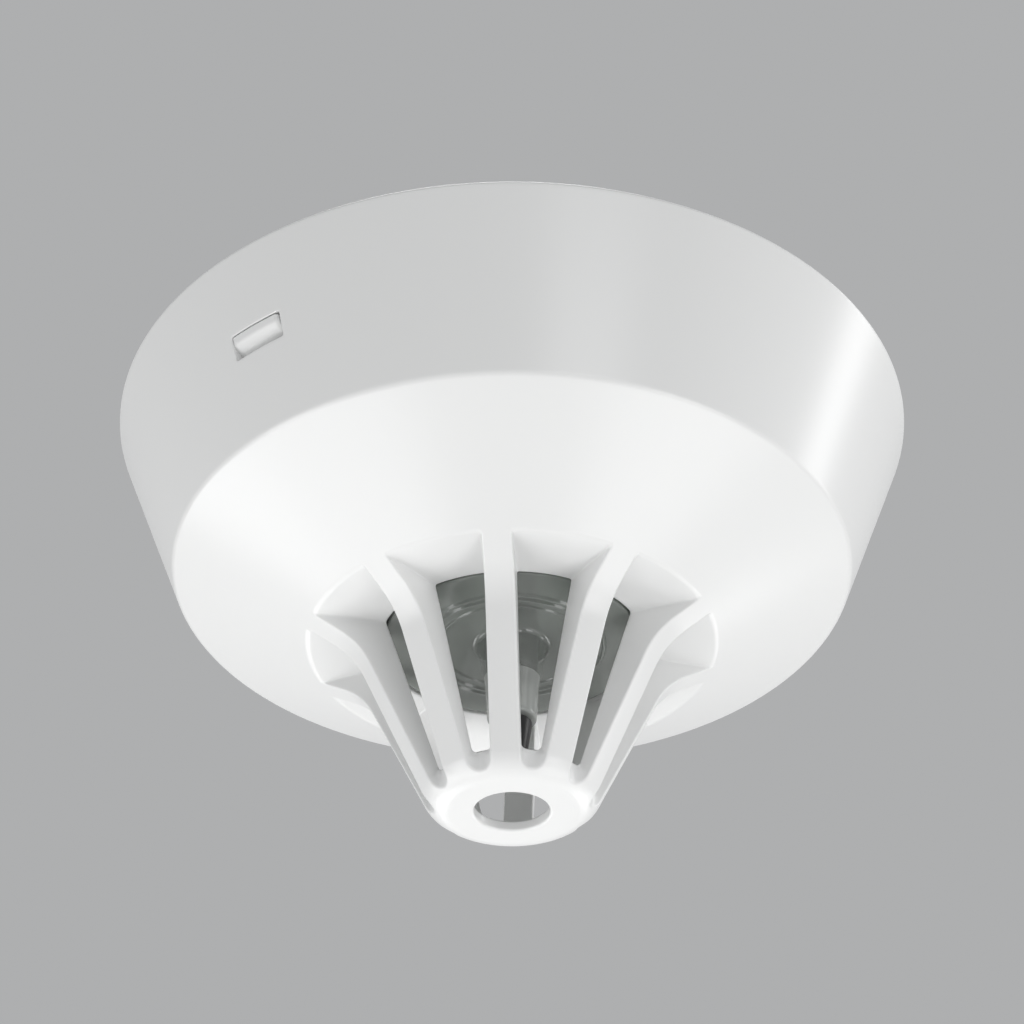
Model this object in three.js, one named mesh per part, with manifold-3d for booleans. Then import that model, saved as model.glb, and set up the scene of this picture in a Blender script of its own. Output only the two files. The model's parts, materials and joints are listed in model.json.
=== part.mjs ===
// Ceiling heat detector: a turned-on head with a vented cage over its sensing bead, on a fixed base.
// Millimetres, +Z up. The origin is the centre of the ceiling face, and the detector hangs below it.
import * as THREE from 'three';
import { mergeVertices } from 'three/addons/utils/BufferGeometryUtils.js';
import Module from 'manifold-3d';

const wasm = await Module();
wasm.setup();

// ---- Driving dimensions -------------------------------------------------------------------------
const GAP = 0.3;                    // clearance between neighbouring pieces

const RIM_Z = -0.6;                 // the cover's rim hangs just clear of the ceiling
const RIM_R = 52.5;                 // overall radius of the detector
const SKIRT = { r: 43.8, z: -23.1 };    // lower edge of the tapered skirt
const STAR = { r: 26.0, z: -32.9 };     // where the dish meets the floor between the ribs
const NECK = { r: 20.1, z: -36.2, fillet: 9.8 };
const CAGE = { r: 12.25, z: -52.1 };        // a point low on the cage's steep outer face
const TIP = { r: 10.0, z: -56.7, fillet: 4.0 };
const TIP_HOLE_R = 4.65;
const WALL = 2.0;
const TIP_WALL = 1.5;
const VENT_TOP = { r: 16.8, z: -32.6 };     // edge of the opening above the cage
const VENT_FOOT = { r: 9.73, z: -52.9 };    // the cage's inner surface at the slots' lower ends
const FLOOR_TOP_Z = -31.1;                  // back face of the wall that the cage stands on
const RIBS = 10;
const RIB_W = 3.7;

const TAB = { angle: 234, w: 7.9, top: -10.25, bottom: -13.3 };
const TAB_INNER_R = 44.2;                   // back face of the release tab's pad
const TAB_STEM = { inner: 37.2, w: 4.4 };

const BASE = { r: 48.6, z: -2.4, ringOuter: 45.5, ringInner: 43.2, ringZ: -9.0, entryR: 12 };
const SLOT = { r: 27, w: 4.5, length: 10 };
const LUGS = [30, 150, 270];
const LUG = { half: 7, inner: 38.5, outer: 42.6, top: -5.2, bottom: -7.3, neck: 2 };
const LEDGE = { half: 8, inner: 41.0, top: -7.6 };

const CONTACTS = [45, 135, 225, 315];
const CONTACT_R = 31;                       // the spring contacts meet the terminals on this circle
const RIVET = { offset: -4.5, r: 1.0, headR: 1.8, headH: 0.6, holeR: 1.3 };
const SPRING = { w: 4, t: 0.4 };
const TERMINAL = { inner: 18.5, outer: 34.5, w: 9, top: -5.5, t: 0.6, screwR: 23, holeR: 1.9 };
const WASHER = { w: 7.2, t: 0.8 };
const TERMINAL_SCREW = { shankR: 1.6, headR: 3.2, headH: 1.8, length: 6 };

const CHASSIS = { r: 43.9, top: -13.2, bottom: -15.2 };
const CHASSIS_SCREW = { shankR: 1.1, headR: 2.8, headH: 1.8, holeR: 1.8, foot: -21.6 };
const SCREW_ANGLES = [90, 210, 330];
const SCREW_R = 38.5;
const BOSS = { r: 3, boreR: 1.4, boreFoot: -22.2 };     // the cover's posts that take the chassis screws
const STANDOFF = { at: 26, r: 2 };
const PCB = { r: 34.5, top: -18.0, bottom: -19.6 };

const GUIDE = { flangeR: 21, top: -29.3, plugR: 16.4, face: -32.5, boreR: 1.7 };
const GUIDE_BOSS = [[3.1, -43.6], [3.2, -41.8], [3.45, -38.4], [4.1, -34.5], [4.9, GUIDE.face]];
const RINGS = [9.8, 11.2];                  // radii of the ridges on the light guide's face
const RING = { half: 0.5, crest: 0.2, h: 0.35 };
const SLEEVE = { r: 3.3, bore: 2.3, foot: -36.6 };
const BEAD = { r: 2.62, top: -43.9, foot: -50.3, footR: 1.6 };
const LEAD = { r: 0.35, x: 0.8 };
const LIGHT_R = 12;                         // the two indicator lights stand this far from the axis
const LIGHT_POST = { r: 2.2, top: -23.8 };

// ---- Materials ----------------------------------------------------------------------------------
const plastic = (color, roughness) => new THREE.MeshStandardMaterial({ color, roughness, metalness: 0 });
const metal = (color, roughness) => new THREE.MeshStandardMaterial({ color, roughness, metalness: 1 });
const white = plastic(0xf3f3f0, 0.32);
const ivory = plastic(0xe6e6e0, 0.5);
const smoky = plastic(0x8f988f, 0.1);
smoky.transparent = true;
smoky.opacity = 0.55;
const black = plastic(0x0c0c0c, 0.25);
const sleeving = plastic(0x4a4b4a, 0.6);
const board = plastic(0x1f5a38, 0.45);
const chip = plastic(0x17181a, 0.5);
const tin = metal(0xc9c9c4, 0.35);
const brass = metal(0xc9a24e, 0.35);
const steel = metal(0xaeb0b3, 0.3);
const can = metal(0xb9bcc0, 0.4);
const lamp = plastic(0xb8352c, 0.15);
const disc = plastic(0x2f5fa8, 0.4);

// ---- Solids -------------------------------------------------------------------------------------
// A closed three.js geometry as a manifold solid, its faces turned outwards.
function solid(geometry) {
  const bare = geometry.index ? geometry.toNonIndexed() : geometry.clone();
  for (const name of Object.keys(bare.attributes)) {
    if (name !== 'position') bare.deleteAttribute(name);
  }
  const merged = mergeVertices(bare, 1e-4);
  const index = merged.index.array;
  const kept = [];
  for (let i = 0; i < index.length; i += 3) {
    const [a, b, c] = [index[i], index[i + 1], index[i + 2]];
    if (a !== b && b !== c && c !== a) kept.push(a, b, c);
  }
  const vertProperties = new Float32Array(merged.attributes.position.array);
  if (signedVolume(vertProperties, kept) < 0) kept.reverse();
  return new wasm.Manifold(new wasm.Mesh({ numProp: 3, vertProperties, triVerts: new Uint32Array(kept) }));
}

function signedVolume(p, index) {
  let sum = 0;
  const at = (i) => new THREE.Vector3(p[3 * i], p[3 * i + 1], p[3 * i + 2]);
  for (let i = 0; i < index.length; i += 3) {
    sum += at(index[i]).dot(at(index[i + 1]).cross(at(index[i + 2])));
  }
  return sum;
}

function geometryOf(manifold) {
  const mesh = manifold.getMesh();
  const geometry = new THREE.BufferGeometry();
  geometry.setAttribute('position', new THREE.BufferAttribute(new Float32Array(mesh.vertProperties), 3));
  geometry.setIndex(new THREE.BufferAttribute(new Uint32Array(mesh.triVerts), 1));
  geometry.computeVertexNormals();
  return geometry;
}

const rad = THREE.MathUtils.degToRad;

// A profile of [r, z] points turned about Z. It closes on itself, or starts and ends on the axis.
function revolve(profile, segments = 24) {
  const closed = profile[0][0] > 0 || profile.at(-1)[0] > 0;
  const points = profile.map(([r, z]) => new THREE.Vector2(r, z));
  if (closed) points.push(points[0].clone());
  return solid(new THREE.LatheGeometry(points, segments).rotateX(Math.PI / 2));
}

const cylinder = (r, top, bottom, segments = 20) => (
  revolve([[0, bottom], [r, bottom], [r, top], [0, top]], segments)
);

const tube = (r, bore, top, bottom, segments = 20) => (
  revolve([[bore, bottom], [r, bottom], [r, top], [bore, top]], segments)
);

// An outline of [x, y] points, drawn from z = bottom up to z = top.
function prism(outline, top, bottom) {
  const shape = new THREE.Shape(outline.map(([x, y]) => new THREE.Vector2(x, y)));
  const geometry = new THREE.ExtrudeGeometry(shape, { depth: top - bottom, bevelEnabled: false });
  return solid(geometry.translate(0, 0, bottom));
}

// A block between two radii on the +X side, w wide.
const block = (inner, outer, w, top, bottom) => (
  prism([[inner, -w / 2], [outer, -w / 2], [outer, w / 2], [inner, w / 2]], top, bottom)
);

// Part of a ring, half degrees to each side of +X.
function sector(inner, outer, half, top, bottom, steps = 6) {
  const arc = (r, from, to) => Array.from({ length: steps + 1 }, (_, i) => {
    const a = rad(from + ((to - from) * i) / steps);
    return [r * Math.cos(a), r * Math.sin(a)];
  });
  return prism([...arc(outer, -half, half), ...arc(inner, half, -half)], top, bottom);
}

// A slot with round ends, lying along Y and centred on (x, 0).
function obround(x, w, length, top, bottom) {
  const straight = (length - w) / 2;
  const end = (cy, from) => Array.from({ length: 9 }, (_, i) => {
    const a = rad(from + (180 * i) / 8);
    return [x + (w / 2) * Math.cos(a), cy + (w / 2) * Math.sin(a)];
  });
  return prism([...end(straight, 0), ...end(-straight, 180)], top, bottom);
}

const turned = (manifold, degrees) => manifold.rotate([0, 0, degrees]);
const moved = (manifold, x, y, z = 0) => manifold.translate([x, y, z]);
const sum = (parts) => parts.reduce((all, part) => all.add(part));
const polar = (r, degrees) => [r * Math.cos(rad(degrees)), r * Math.sin(rad(degrees))];

// Corners of a profile, each given as {r, z, fillet}, with the filleted ones drawn as arcs.
function rounded(corners, steps = 4) {
  const points = [];
  corners.forEach((corner, i) => {
    if (!corner.fillet) {
      points.push([corner.r, corner.z]);
      return;
    }
    const at = new THREE.Vector2(corner.r, corner.z);
    const before = corners.at(i - 1);
    const after = corners[(i + 1) % corners.length];
    const u = new THREE.Vector2(before.r, before.z).sub(at).normalize();
    const v = new THREE.Vector2(after.r, after.z).sub(at).normalize();
    const halfAngle = Math.acos(u.dot(v)) / 2;
    const back = corner.fillet / Math.tan(halfAngle);
    const centre = at.clone().add(u.clone().add(v).setLength(corner.fillet / Math.sin(halfAngle)));
    const start = at.clone().addScaledVector(u, back).sub(centre);
    const end = at.clone().addScaledVector(v, back).sub(centre);
    const turn = Math.atan2(start.cross(end), start.dot(end));
    for (let k = 0; k <= steps; k += 1) {
      const p = start.clone().rotateAround(new THREE.Vector2(), (turn * k) / steps).add(centre);
      points.push([p.x, p.y]);
    }
  });
  return points;
}

// ---- Assembly -----------------------------------------------------------------------------------
const detector = new THREE.Group();
const baseGroup = new THREE.Group();
const headGroup = new THREE.Group();
const boardGroup = new THREE.Group();
headGroup.add(boardGroup);
detector.add(baseGroup, headGroup);

function add(group, name, manifold, material) {
  const mesh = new THREE.Mesh(geometryOf(manifold), material);
  mesh.name = name;
  group.add(mesh);
}

// ---- Cover: skirt, dish, ribbed cage and tip in one moulding --------------------------------------
const COVER_SEGMENTS = 60;
const skirtSlope = (RIM_R - SKIRT.r) / (RIM_Z - SKIRT.z);
const dishSlope = (SKIRT.z - STAR.z) / (SKIRT.r - STAR.r);
const skirtInset = WALL * Math.hypot(1, skirtSlope);
const dishInset = WALL * Math.hypot(1, dishSlope);
const cageSlope = (VENT_TOP.r - VENT_FOOT.r) / (VENT_TOP.z - VENT_FOOT.z);
const tipTop = TIP.z + TIP_WALL;

const outerProfile = [
  { r: TIP_HOLE_R, z: TIP.z },
  TIP,
  CAGE,
  NECK,
  STAR,
  { ...SKIRT, fillet: 1.3 },
  { r: RIM_R, z: RIM_Z },
];

// Where the inside faces of the skirt and of the dish meet.
const innerSkirtR = (z) => RIM_R - skirtInset - skirtSlope * (RIM_Z - z);
const innerDishZ = (r) => STAR.z + dishInset + dishSlope * (r - STAR.r);
let innerEdgeZ = SKIRT.z;
for (let pass = 0; pass < 20; pass += 1) innerEdgeZ = innerDishZ(innerSkirtR(innerEdgeZ));
const floorR = STAR.r + (FLOOR_TOP_Z - innerDishZ(STAR.r)) / dishSlope;

const innerProfile = [
  { r: RIM_R - skirtInset, z: RIM_Z },
  { r: innerSkirtR(innerEdgeZ), z: innerEdgeZ },
  { r: floorR, z: FLOOR_TOP_Z },
  { r: VENT_TOP.r, z: FLOOR_TOP_Z },
  VENT_TOP,
  VENT_FOOT,
  { r: VENT_FOOT.r - cageSlope * (VENT_FOOT.z - tipTop), z: tipTop },
  { r: TIP_HOLE_R, z: tipTop },
];

// The open space between two ribs, centred on +X: a wedge between their parallel sides, within a ring that
// has the sloping floor as its roof and drops straight down past the inside of the cage at the slot's foot.
function slotCutter() {
  const clear = 6;
  const inner = VENT_FOOT.r / 2;
  const below = TIP.z - clear;
  const zone = revolve([
    [inner, VENT_TOP.z], [VENT_TOP.r, VENT_TOP.z], [STAR.r, STAR.z], [STAR.r + clear, STAR.z],
    [STAR.r + clear, below], [VENT_FOOT.r, below], [VENT_FOOT.r, VENT_FOOT.z], [inner, VENT_FOOT.z],
  ], COVER_SEGMENTS);
  const half = rad(180 / RIBS);
  const apex = RIB_W / 2 / Math.sin(half);
  const reach = STAR.r + 2 * clear;
  const side = (sign) => [apex + reach * Math.cos(half), sign * reach * Math.sin(half)];
  return zone.intersect(prism([[apex, 0], side(-1), side(1)], FLOOR_TOP_Z - 0.5, below - 1));
}

function cover() {
  const filled = revolve([[0, TIP.z], ...rounded(outerProfile), [0, RIM_Z]], COVER_SEGMENTS);
  const atScrews = (post) => sum(SCREW_ANGLES.map((angle) => moved(post, ...polar(SCREW_R, angle))));
  const bosses = atScrews(cylinder(BOSS.r, CHASSIS.bottom - GAP, STAR.z, 16)).intersect(filled);
  const pilots = atScrews(cylinder(BOSS.boreR, CHASSIS.bottom, BOSS.boreFoot, 12));
  const shell = revolve([...rounded(outerProfile), ...rounded(innerProfile)], COVER_SEGMENTS);
  const cutter = slotCutter();
  const slots = sum(Array.from({ length: RIBS }, (_, i) => turned(cutter, -90 + (360 / RIBS) * (i + 0.5))));
  const tabWindow = turned(block(TAB_INNER_R, RIM_R + 3, TAB.w, TAB.top, TAB.bottom), TAB.angle);
  return shell.add(bosses).subtract(pilots).subtract(slots).subtract(tabWindow);
}
add(headGroup, 'outer_cover', cover(), white);

// ---- Light guide: smoky clear disc that closes the cage, with a tapered boss for the bead ----------
function lightGuide() {
  const ring = (r) => [
    [r - RING.half, GUIDE.face], [r - RING.crest, GUIDE.face - RING.h],
    [r + RING.crest, GUIDE.face - RING.h], [r + RING.half, GUIDE.face],
  ];
  const sleeveEnd = SLEEVE.foot - GAP;
  const profile = [
    [SLEEVE.r + GAP, GUIDE.top], [SLEEVE.r + GAP, sleeveEnd], [GUIDE.boreR, sleeveEnd - 0.8],
    [GUIDE.boreR, GUIDE_BOSS[0][1]], ...GUIDE_BOSS, ...RINGS.flatMap(ring), [GUIDE.plugR, GUIDE.face],
    [GUIDE.plugR, FLOOR_TOP_Z + GAP], [GUIDE.flangeR, FLOOR_TOP_Z + GAP], [GUIDE.flangeR, GUIDE.top],
  ];
  const lightPost = cylinder(LIGHT_POST.r, LIGHT_POST.top, GUIDE.top - 0.5, 16);
  return sum([revolve(profile, 40), moved(lightPost, LIGHT_R, 0), moved(lightPost, -LIGHT_R, 0)]);
}
add(headGroup, 'light_guide', lightGuide(), smoky);

// ---- Sensing element ------------------------------------------------------------------------------
add(headGroup, 'thermistor_bead', revolve([
  [0, BEAD.foot], [BEAD.footR * 0.6, BEAD.foot], [BEAD.footR, BEAD.foot + 0.7],
  [BEAD.r, BEAD.top - 0.4], [BEAD.r - 0.4, BEAD.top], [0, BEAD.top],
], 20), black);
add(headGroup, 'thermistor_sleeve', tube(SLEEVE.r, SLEEVE.bore, PCB.bottom - GAP, SLEEVE.foot, 20), sleeving);
[-LEAD.x, LEAD.x].forEach((x, i) => {
  const lead = cylinder(LEAD.r, PCB.bottom - GAP, BEAD.top + GAP, 10);
  add(headGroup, `thermistor_lead_${i + 1}`, moved(lead, x, 0), tin);
});

// ---- Circuit board and what it carries --------------------------------------------------------------
add(boardGroup, 'circuit_board', cylinder(PCB.r, PCB.top, PCB.bottom, 48), board);
const under = PCB.bottom - GAP;
const boxPart = (x, y, w, d, h) => (
  moved(prism([[-w / 2, -d / 2], [w / 2, -d / 2], [w / 2, d / 2], [-w / 2, d / 2]], under, under - h), x, y)
);
[LIGHT_R, -LIGHT_R].forEach((x, i) => {
  const led = revolve([
    [0, under - 3.4], [0.9, under - 3.2], [1.5, under - 2.4], [1.5, under - 0.6],
    [1.9, under - 0.6], [1.9, under], [0, under],
  ], 16);
  add(boardGroup, `indicator_led_${i + 1}`, moved(led, x, 0), lamp);
});
add(boardGroup, 'microcontroller', boxPart(-18, 14, 7, 7, 1.2), chip);
add(boardGroup, 'bridge_rectifier', boxPart(19, -14, 6.4, 4.6, 2.3), chip);
add(boardGroup, 'voltage_regulator', boxPart(2, 24, 6.5, 3.6, 1.6), chip);
add(boardGroup, 'smoothing_capacitor', moved(cylinder(3.15, under, under - 5.6, 24), -19, -15), can);
const suppressor = cylinder(3.6, 1.4, -1.4, 20).rotate([90, 0, 0]);
add(boardGroup, 'surge_suppressor', moved(suppressor, 20, 12, under - 3.7), disc);
const reference = revolve([
  [0, under - 4.2], [0.8, under - 4.0], [1.3, under - 3.0], [0.9, under - 1.4],
  [0.4, under - 0.8], [0.4, under], [0, under],
], 12);
add(boardGroup, 'reference_thermistor', moved(reference, 0, -25), black);

// ---- Chassis: closes the head's back, carries the bayonet lugs and the spring contacts ---------------
function chassis() {
  const plate = cylinder(CHASSIS.r, CHASSIS.top, CHASSIS.bottom, 60);
  const lug = sector(LUG.inner, LUG.inner + LUG.neck, LUG.half, LUG.top, CHASSIS.bottom + 0.5)
    .add(sector(LUG.inner, LUG.outer, LUG.half, LUG.top, LUG.bottom));
  const lugs = LUGS.map((angle) => turned(lug, angle));
  const standoff = cylinder(STANDOFF.r, CHASSIS.bottom + 0.5, PCB.top + GAP, 12);
  const standoffs = [0, 120, 240].map((angle) => moved(standoff, ...polar(STANDOFF.at, angle)));
  const tabGuide = block(TAB_STEM.inner - 0.7, 41, 1.2, TAB.top, CHASSIS.top - 0.5);
  const guides = [-1, 1].map((side) => turned(moved(tabGuide, 0, side * (TAB_STEM.w / 2 + 1)), TAB.angle));
  const screwHole = cylinder(CHASSIS_SCREW.holeR, 0, PCB.bottom, 14);
  const screwHoles = SCREW_ANGLES.map((angle) => moved(screwHole, ...polar(SCREW_R, angle)));
  const rivetHole = moved(cylinder(RIVET.holeR, 0, CHASSIS.bottom - 1, 12), CONTACT_R, RIVET.offset);
  const rivetHoles = CONTACTS.map((angle) => turned(rivetHole, angle));
  return sum([plate, ...lugs, ...standoffs, ...guides]).subtract(sum([...screwHoles, ...rivetHoles]));
}
add(headGroup, 'chassis', chassis(), ivory);

// A bent strip standing on the chassis: a foot, a rising leaf and a rounded crest under the terminal.
function contactSpring() {
  const foot = CHASSIS.top + GAP;
  const crest = TERMINAL.top - TERMINAL.t - GAP;
  const outline = [
    [-6.5, foot + SPRING.t], [-2.6, foot + SPRING.t], [-0.5, crest - 1.0], [0.9, crest], [2.3, crest - 0.2],
    [4.6, crest - 2.6], [4.3, crest - 3.0], [2.0, crest - 0.7], [1.1, crest - 0.5], [0.0, crest - 1.4],
    [-2.1, foot], [-6.5, foot],
  ].map(([y, z]) => new THREE.Vector2(y, z));
  const strip = new THREE.ExtrudeGeometry(new THREE.Shape(outline), { depth: SPRING.w, bevelEnabled: false });
  // The outline's first axis becomes +Y and its second +Z; the strip's width runs along +X.
  const start = CONTACT_R - SPRING.w / 2;
  const placed = new THREE.Matrix4().set(0, 0, 1, start, 1, 0, 0, 0, 0, 1, 0, 0, 0, 0, 0, 1);
  const rivetHole = cylinder(RIVET.holeR, foot + 2, foot - 2, 12);
  return solid(strip.applyMatrix4(placed)).subtract(moved(rivetHole, CONTACT_R, RIVET.offset));
}
const rivetSeat = CHASSIS.top + GAP + SPRING.t + GAP;
const rivet = revolve([
  [0, PCB.top + GAP], [RIVET.r, PCB.top + GAP], [RIVET.r, rivetSeat], [RIVET.headR, rivetSeat],
  [RIVET.headR - 0.2, rivetSeat + RIVET.headH], [0, rivetSeat + RIVET.headH],
], 12);
const spring = contactSpring();
CONTACTS.forEach((angle, i) => {
  add(headGroup, `contact_spring_${i + 1}`, turned(spring, angle), brass);
  add(headGroup, `contact_rivet_${i + 1}`, turned(moved(rivet, CONTACT_R, RIVET.offset), angle), tin);
});

// A round-headed screw on the axis, with a slot across its head. seat is the head's bearing face.
function screw({ shankR, headR, headH }, seat, foot) {
  const crown = seat + headH;
  const body = revolve([
    [0, foot], [shankR, foot], [shankR, seat], [headR, seat], [headR, seat + headH * 0.6],
    [headR * 0.7, crown], [0, crown],
  ], 16);
  return body.subtract(block(-headR - 1, headR + 1, 0.9, crown + 1, seat + headH * 0.45));
}
const chassisScrew = screw(CHASSIS_SCREW, CHASSIS.top + GAP, CHASSIS_SCREW.foot);
SCREW_ANGLES.forEach((angle, i) => {
  add(headGroup, `chassis_screw_${i + 1}`, moved(chassisScrew, ...polar(SCREW_R, angle)), steel);
});

// ---- Release tab: sprung tongue whose pad fills the small window in the skirt ------------------------
function releaseTab() {
  const top = TAB.top - GAP;
  const bottom = CHASSIS.top + GAP;
  const faceAt = (z) => RIM_R - skirtSlope * (RIM_Z - z) - 0.1;
  const half = TAB.w / 2 - GAP;
  const curl = 0.9;
  const outline = [
    [TAB_INNER_R, bottom], [faceAt(bottom) - curl, bottom], [faceAt(bottom + curl) - 0.15, bottom + curl],
    [faceAt(top), top], [TAB_INNER_R, top],
  ].map(([r, z]) => new THREE.Vector2(r, z));
  const pad = new THREE.ExtrudeGeometry(new THREE.Shape(outline), { depth: 2 * half, bevelEnabled: false });
  // The outline's first axis stays +X and its second becomes +Z; the pad's width runs along Y.
  const placed = new THREE.Matrix4().set(1, 0, 0, 0, 0, 0, -1, half, 0, 1, 0, 0, 0, 0, 0, 1);
  const stem = block(TAB_STEM.inner, TAB_INNER_R + 0.3, TAB_STEM.w, top, bottom);
  return turned(solid(pad.applyMatrix4(placed)).add(stem), TAB.angle);
}
add(headGroup, 'release_tab', releaseTab(), white);

// ---- Base: fixed plate with the bayonet ring and the wiring terminals ---------------------------------
function basePlate() {
  const plate = revolve([
    [BASE.entryR, 0], [BASE.entryR, BASE.z], [BASE.ringInner, BASE.z], [BASE.ringInner, BASE.ringZ],
    [BASE.ringOuter, BASE.ringZ], [BASE.ringOuter, BASE.z], [BASE.r, BASE.z], [BASE.r, 0],
  ], 60);
  const ledge = sector(LEDGE.inner, BASE.ringInner + 1, LEDGE.half, LEDGE.top, BASE.ringZ);
  const ledges = LUGS.map((angle) => turned(ledge, angle));
  const plinth = block(
    TERMINAL.inner - 1, TERMINAL.outer + 1, TERMINAL.w + 1.5, BASE.z + 0.5, TERMINAL.top + GAP);
  const plinths = CONTACTS.map((angle) => turned(plinth, angle));
  const slot = obround(SLOT.r, SLOT.w, SLOT.length, 2, 2 * BASE.z);
  const tapped = cylinder(TERMINAL.holeR, BASE.z / 2, BASE.ringZ, 12);
  const holes = CONTACTS.map((angle) => moved(tapped, ...polar(TERMINAL.screwR, angle)));
  return sum([plate, ...ledges, ...plinths]).subtract(sum([slot, turned(slot, 180), ...holes]));
}
add(baseGroup, 'base_plate', basePlate(), ivory);

const clearance = cylinder(TERMINAL.holeR, 0, BASE.ringZ, 12);
const terminal = block(TERMINAL.inner, TERMINAL.outer, TERMINAL.w, TERMINAL.top, TERMINAL.top - TERMINAL.t)
  .subtract(moved(clearance, TERMINAL.screwR, 0));
const clampTop = TERMINAL.top - TERMINAL.t - GAP;
const washer = block(-WASHER.w / 2, WASHER.w / 2, WASHER.w, clampTop, clampTop - WASHER.t)
  .subtract(clearance);
const screwSeat = clampTop - WASHER.t - GAP;
const terminalScrew = screw(TERMINAL_SCREW, 0, -TERMINAL_SCREW.length).rotate([180, 0, 0]);
CONTACTS.forEach((angle, i) => {
  const at = polar(TERMINAL.screwR, angle);
  add(baseGroup, `base_terminal_${i + 1}`, turned(terminal, angle), brass);
  add(baseGroup, `clamp_washer_${i + 1}`, moved(turned(washer, angle), ...at), steel);
  const placed = moved(turned(terminalScrew, angle + 25), ...at, screwSeat);
  add(baseGroup, `terminal_screw_${i + 1}`, placed, steel);
});

export default detector;
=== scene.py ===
"""Ceiling heat detector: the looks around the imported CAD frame. Blender 4.5, metres, +Z up.

Shapes are worked out in millimetres in the detector's own frame and scaled to metres as each mesh is made.
Outlines are (radius, height, fillet) corners that are turned round Z. theta is measured round Z from -Y,
positive towards +X, so that a cage rib stands at theta = 0.
"""

import json

import bmesh
import bpy
import numpy as np
from mathutils import Matrix, Vector


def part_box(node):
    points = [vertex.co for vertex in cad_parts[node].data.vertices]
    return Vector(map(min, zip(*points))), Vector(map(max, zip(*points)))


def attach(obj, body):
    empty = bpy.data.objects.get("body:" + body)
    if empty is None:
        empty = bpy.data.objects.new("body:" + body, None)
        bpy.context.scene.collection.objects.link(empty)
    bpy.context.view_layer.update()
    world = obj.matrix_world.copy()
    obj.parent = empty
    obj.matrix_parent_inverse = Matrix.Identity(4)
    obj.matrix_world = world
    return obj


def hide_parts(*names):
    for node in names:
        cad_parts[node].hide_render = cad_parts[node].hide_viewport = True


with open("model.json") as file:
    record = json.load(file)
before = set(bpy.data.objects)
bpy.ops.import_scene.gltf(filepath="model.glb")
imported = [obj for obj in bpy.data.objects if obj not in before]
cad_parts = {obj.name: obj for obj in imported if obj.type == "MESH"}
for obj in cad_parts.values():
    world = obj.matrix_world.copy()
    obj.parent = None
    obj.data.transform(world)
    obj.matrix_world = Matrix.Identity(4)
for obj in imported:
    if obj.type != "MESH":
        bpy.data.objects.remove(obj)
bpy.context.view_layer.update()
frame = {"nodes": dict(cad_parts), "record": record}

MM = 0.001


def box_of(node):
    """The low and high corners of a CAD node, in millimetres."""
    return [np.array(corner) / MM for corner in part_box(node)]


# ---- Driving dimensions, in millimetres ------------------------------------------------------
cover_low, cover_high = box_of("outer_cover")
RIM_R = cover_high[0]
RIM_Z = cover_high[2]
TIP_Z = cover_low[2]

RIM_W, RIM_ROUND, RIM_INNER_ROUND = 1.2, 0.4, 0.3
SKIRT_R, SKIRT_Z = 43.8, -23.1          # lower edge of the tapered skirt
SKIRT_ROUND, SKIRT_INNER_ROUND = 1.3, 0.8
STAR_R, STAR_Z = 26.0, -32.9            # where the dish meets the floor between the ribs
NECK_R, NECK_Z, NECK_FILLET = 20.1, -36.2, 9.8
CAGE_R, CAGE_Z = 12.25, -52.1           # a point on the cage's steep outer face near its foot
FOOT_R, FOOT_ROUND = 10.0, 4.0          # corner between the steep face and the flat tip
HOLE_R, HOLE_ROUND = 4.65, 0.35
WALL, TIP_WALL = 2.0, 1.5
VENT_R, VENT_Z = 16.8, -32.6            # the opening above the cage
VENT_FOOT_R, VENT_FOOT_Z = 9.73, -52.9  # inner face of the cage at the slots' lower ends
VENT_BASE_IN, VENT_BASE_ROUND = 0.75, 0.5   # the inner face closes in by this down to the tip's floor
FLOOR_TOP_Z = -31.1
FOOT_DRAFT = 0.03                       # lean of the slots' nearly upright lower ends
FOOT_SQUARE, FOOT_HOLLOW = 0.12, 1.05   # the slots' lower corners, square inside and rounded outside
FOOT_SPREAD = 0.8
FLOOR_ROUND = 0.25                      # between a rib's side and the floor
EDGE_ROUND = 0.22                       # on the moulding's outer edges
RIBS = 10
RIB_W = 3.7
WINDOW_THETA = -36.0                    # degrees
WINDOW_TOP, WINDOW_BOTTOM, WINDOW_W = -10.25, -13.3, 7.9

CUT_R = 28.0                            # the ribbed middle and the plain dish join on this circle
CUT_MARGIN = 6.0                        # the middle's outline runs this far past it
GRID = 0.2                              # spacing of the grid that the ribbed middle is found on
STEPS_PER_RIB = 72                      # columns in one rib pitch
COLUMNS = RIBS * STEPS_PER_RIB
PITCH = 360 / RIBS


# ---- Mesh helpers ----------------------------------------------------------------------------
def make_object(name, points, faces, material):
    mesh = bpy.data.meshes.new(name)
    mesh.from_pydata((np.asarray(points, dtype=float) * MM).tolist(), [], [list(map(int, f)) for f in faces])
    mesh.validate()
    mesh.update()
    mesh.polygons.foreach_set("use_smooth", [True] * len(mesh.polygons))
    obj = bpy.data.objects.new(name, mesh)
    bpy.context.scene.collection.objects.link(obj)
    mesh.materials.append(material)
    return obj


def at(r, theta, z):
    """Points from cylindrical places, theta in degrees."""
    t = np.radians(theta)
    return np.stack([r * np.sin(t), -r * np.cos(t), np.broadcast_to(z, np.shape(r * t))], axis=-1)


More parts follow.
